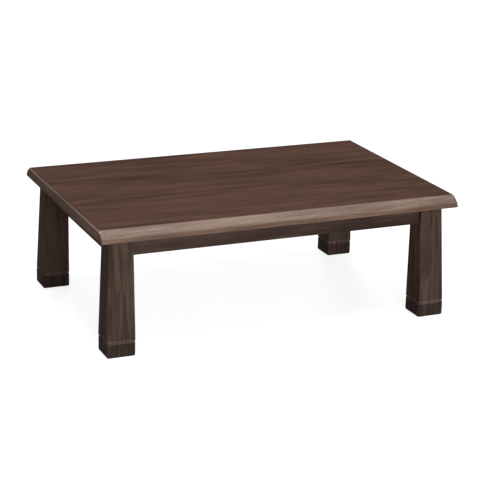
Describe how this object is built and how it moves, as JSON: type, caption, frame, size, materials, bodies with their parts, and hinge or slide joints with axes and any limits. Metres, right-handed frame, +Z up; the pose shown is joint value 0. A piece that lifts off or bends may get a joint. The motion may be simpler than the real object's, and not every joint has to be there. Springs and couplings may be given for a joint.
{
  "type": "kotatsu table",
  "caption": "Low heated table: dark board with pale sloping long edges lifts off a frame on flared square legs with pull-off extensions; a fan heater hangs in the middle of the frame.",
  "frame": {"origin": "on the floor, under the middle of the board", "axes": "+X along the long side towards the right end seen from the front, +Y from the front edge to the rear edge, +Z up from the floor to the face of the board"},
  "size_m": [1.2, 0.8, 0.405],
  "materials": {
    "stained_veneer": "satin lacquer",
    "stained_edge_timber": "satin lacquer",
    "stained_end_band": "satin lacquer",
    "chipboard": "raw pressed wood",
    "backing_sheet": "matt printed laminate",
    "stained_frame_timber": "satin lacquer",
    "stained_leg_timber": "satin lacquer",
    "raw_rail_timber": "planed, unfinished",
    "beech_dowel": "sanded, unfinished",
    "felt": "pressed felt",
    "grip_rubber": "matt",
    "zinc_plated_steel": "zinc plated",
    "galvanised_sheet": "galvanised",
    "black_enamelled_sheet": "heat-proof enamel",
    "polished_aluminium": "polished",
    "quartz": "clear",
    "resistance_wire": "oxidised",
    "steatite": "unglazed",
    "bright_steel": "machined",
    "motor_steel": "painted",
    "bakelite": "moulded",
    "inlet_plastic": "moulded",
    "nickel_plated_brass": "nickel plated",
    "wire_sleeve": "braided sleeve"
  },
  "bodies": {
    "frame": {"apron_front": "stained_frame_timber", "apron_rear": "stained_frame_timber", "apron_left": "stained_frame_timber", "apron_right": "stained_frame_timber", "cross_rail_left": "raw_rail_timber", "cross_rail_right": "raw_rail_timber", "heater_rail_front": "raw_rail_timber", "heater_rail_rear": "raw_rail_timber", "grip_pads": "grip_rubber", "leg_front_left": "stained_leg_timber", "corner_bracket_front_left": "zinc_plated_steel", "leg_front_right": "stained_leg_timber", "corner_bracket_front_right": "zinc_plated_steel", "leg_rear_left": "stained_leg_timber", "corner_bracket_rear_left": "zinc_plated_steel", "leg_rear_right": "stained_leg_timber", "corner_bracket_rear_right": "zinc_plated_steel", "bracket_screws": "zinc_plated_steel", "hanger_bolts": "zinc_plated_steel", "bolt_washers": "zinc_plated_steel", "bolt_nuts": "zinc_plated_steel", "heater_case": "galvanised_sheet", "heater_guard": "black_enamelled_sheet", "heater_divider": "galvanised_sheet", "heater_reflector": "polished_aluminium", "heater_screws": "zinc_plated_steel", "guard_screws": "zinc_plated_steel", "quartz_tube": "quartz", "heating_coil": "resistance_wire", "lamp_holders": "steatite", "lamp_clip": "bright_steel", "fan_motor": "motor_steel", "thermostat": "bakelite", "thermal_fuse": "steatite", "terminal_block": "bakelite", "power_inlet": "inlet_plastic", "inlet_pins": "nickel_plated_brass", "lead_wires": "wire_sleeve"},
    "top_board": {"board_core": "chipboard", "board_face_veneer": "stained_veneer", "board_backing_sheet": "backing_sheet", "board_rear_edge_strip": "stained_edge_timber", "board_front_edge_strip": "stained_edge_timber", "board_right_end_band": "stained_end_band", "board_left_end_band": "stained_end_band"},
    "fan": {"fan_shaft": "bright_steel", "fan_impeller": "galvanised_sheet"},
    "extension_front_left": {"extension_front_left": "stained_leg_timber", "extension_dowels_front_left": "beech_dowel", "felt_pad_front_left": "felt"},
    "extension_front_right": {"extension_front_right": "stained_leg_timber", "extension_dowels_front_right": "beech_dowel", "felt_pad_front_right": "felt"},
    "extension_rear_left": {"extension_rear_left": "stained_leg_timber", "extension_dowels_rear_left": "beech_dowel", "felt_pad_rear_left": "felt"},
    "extension_rear_right": {"extension_rear_right": "stained_leg_timber", "extension_dowels_rear_right": "beech_dowel", "felt_pad_rear_right": "felt"}
  },
  "joints": [
    {"name": "top_board_lift", "type": "slide", "parent": "frame", "child": "top_board", "axis": [0, 0, 1], "range_m": [0, 0.3]},
    {"name": "fan_spin", "type": "hinge", "parent": "frame", "child": "fan", "pos_m": [0.105, 0.02, 0.336], "axis": [0, 0, 1], "continuous": true},
    {"name": "extension_front_left_pull", "type": "slide", "parent": "frame", "child": "extension_front_left", "axis": [0, 0, -1], "range_m": [0, 0.05]},
    {"name": "extension_front_right_pull", "type": "slide", "parent": "frame", "child": "extension_front_right", "axis": [0, 0, -1], "range_m": [0, 0.05]},
    {"name": "extension_rear_left_pull", "type": "slide", "parent": "frame", "child": "extension_rear_left", "axis": [0, 0, -1], "range_m": [0, 0.05]},
    {"name": "extension_rear_right_pull", "type": "slide", "parent": "frame", "child": "extension_rear_right", "axis": [0, 0, -1], "range_m": [0, 0.05]}
  ]
}
